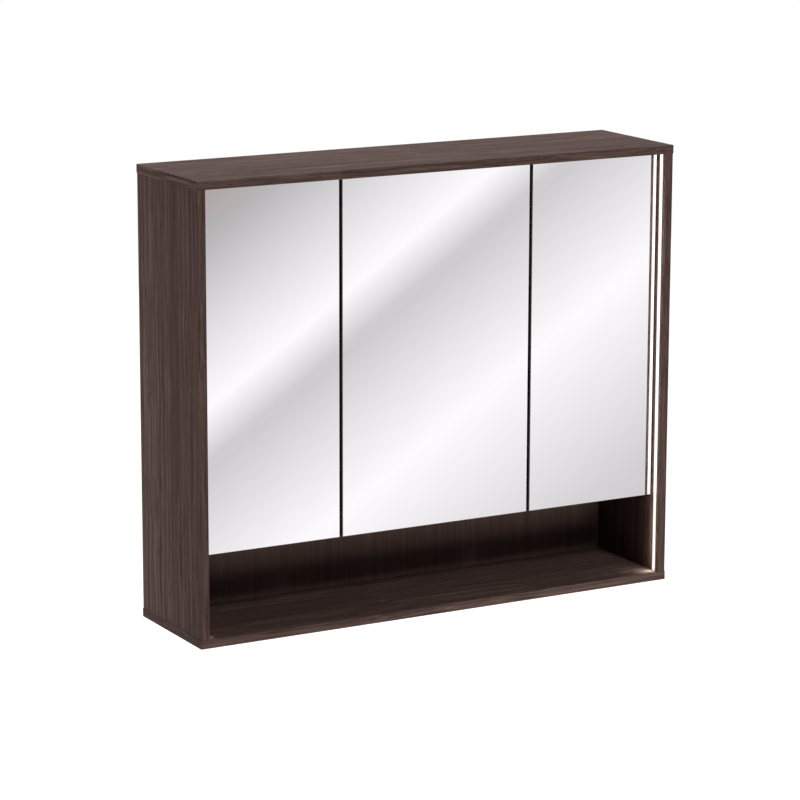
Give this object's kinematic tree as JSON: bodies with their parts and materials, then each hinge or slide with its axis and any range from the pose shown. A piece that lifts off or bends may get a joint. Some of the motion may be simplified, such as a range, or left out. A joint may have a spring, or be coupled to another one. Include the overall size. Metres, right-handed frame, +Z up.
{
  "type": "medicine cabinet with mirror",
  "caption": "Wall-hung bathroom medicine cabinet in dark oak with frameless mirror doors, an open niche below them and light strips let into the sides.",
  "frame": {"origin": "on the wall plane, midway between the two wall screws that carry the cabinet", "axes": "+X to the right seen from the front, +Y from the front towards the wall, +Z up"},
  "size_m": [0.8, 0.2, 0.68],
  "materials": {
    "upright_board": "dark oak melamine, upright grain",
    "level_board": "dark oak melamine, level grain",
    "back_board": "dark fibreboard",
    "beech": "raw",
    "mirror": "polished, silvered",
    "shelf_glass": "clear, polished edges",
    "nickel_plated_steel": "nickel plated",
    "zinc_plated_steel": "zinc plated",
    "anodised_aluminium": "anodised",
    "light_strip": "satin",
    "opal_cover": "opal",
    "lead_jacket": "soft jacket",
    "driver_case": "satin",
    "black_nylon": "matt",
    "rocker_black": "gloss",
    "white_nylon": "matt",
    "brown_cap": "matt",
    "clear_bumper": "soft, clear"
  },
  "bodies": {
    "carcass": {"back_panel": "back_board", "bottom_board": "level_board", "carcass_dowels": "beech", "door_bumpers": "clear_bumper", "driver_screws": "zinc_plated_steel", "hanger_screws": "zinc_plated_steel", "hinge_arm_screws": "nickel_plated_steel", "hinge_arms": "nickel_plated_steel", "hinge_plate_screws": "nickel_plated_steel", "hinge_plates": "nickel_plated_steel", "lead_clips": "white_nylon", "left_hanger_bracket": "zinc_plated_steel", "left_light_channel": "anodised_aluminium", "left_light_cover": "opal_cover", "left_light_lead": "lead_jacket", "left_light_strip": "light_strip", "left_lower_shelf": "shelf_glass", "left_partition": "upright_board", "left_side_panel": "upright_board", "left_upper_shelf": "shelf_glass", "light_driver": "driver_case", "mains_gland": "black_nylon", "middle_lower_shelf": "shelf_glass", "middle_upper_shelf": "shelf_glass", "niche_top_board": "level_board", "right_hanger_bracket": "zinc_plated_steel", "right_light_channel": "anodised_aluminium", "right_light_cover": "opal_cover", "right_light_lead": "lead_jacket", "right_light_strip": "light_strip", "right_lower_shelf": "shelf_glass", "right_partition": "upright_board", "right_side_panel": "upright_board", "right_upper_shelf": "shelf_glass", "screw_hole_caps": "brown_cap", "shelf_pins": "nickel_plated_steel", "switch_housing": "black_nylon", "switch_lead": "lead_jacket", "switch_screws": "zinc_plated_steel", "top_board": "level_board"},
    "left_door": {"left_door_board": "upright_board", "left_mirror": "mirror", "left_hinge_cups": "nickel_plated_steel", "left_cup_screws": "nickel_plated_steel", "left_hinge_pins": "nickel_plated_steel"},
    "middle_door": {"middle_door_board": "upright_board", "middle_mirror": "mirror", "middle_hinge_cups": "nickel_plated_steel", "middle_cup_screws": "nickel_plated_steel", "middle_hinge_pins": "nickel_plated_steel"},
    "right_door": {"right_door_board": "upright_board", "right_mirror": "mirror", "right_hinge_cups": "nickel_plated_steel", "right_cup_screws": "nickel_plated_steel", "right_hinge_pins": "nickel_plated_steel"},
    "rocker": {"switch_rocker": "rocker_black"}
  },
  "joints": [
    {"name": "left_door_swing", "type": "hinge", "parent": "carcass", "child": "left_door", "pos_m": [-0.3652, -0.171, -0.2], "axis": [0, 0, -1], "range_deg": [0, 90]},
    {"name": "middle_door_swing", "type": "hinge", "parent": "carcass", "child": "middle_door", "pos_m": [-0.14, -0.171, -0.2], "axis": [0, 0, -1], "range_deg": [0, 90]},
    {"name": "right_door_swing", "type": "hinge", "parent": "carcass", "child": "right_door", "pos_m": [0.3652, -0.171, -0.2], "axis": [0, 0, 1], "range_deg": [0, 90]},
    {"name": "switch_rocker_tilt", "type": "hinge", "parent": "carcass", "child": "rocker", "pos_m": [0.2, -0.06, -0.466], "axis": [1, 0, 0], "range_deg": [-7, 7]}
  ]
}
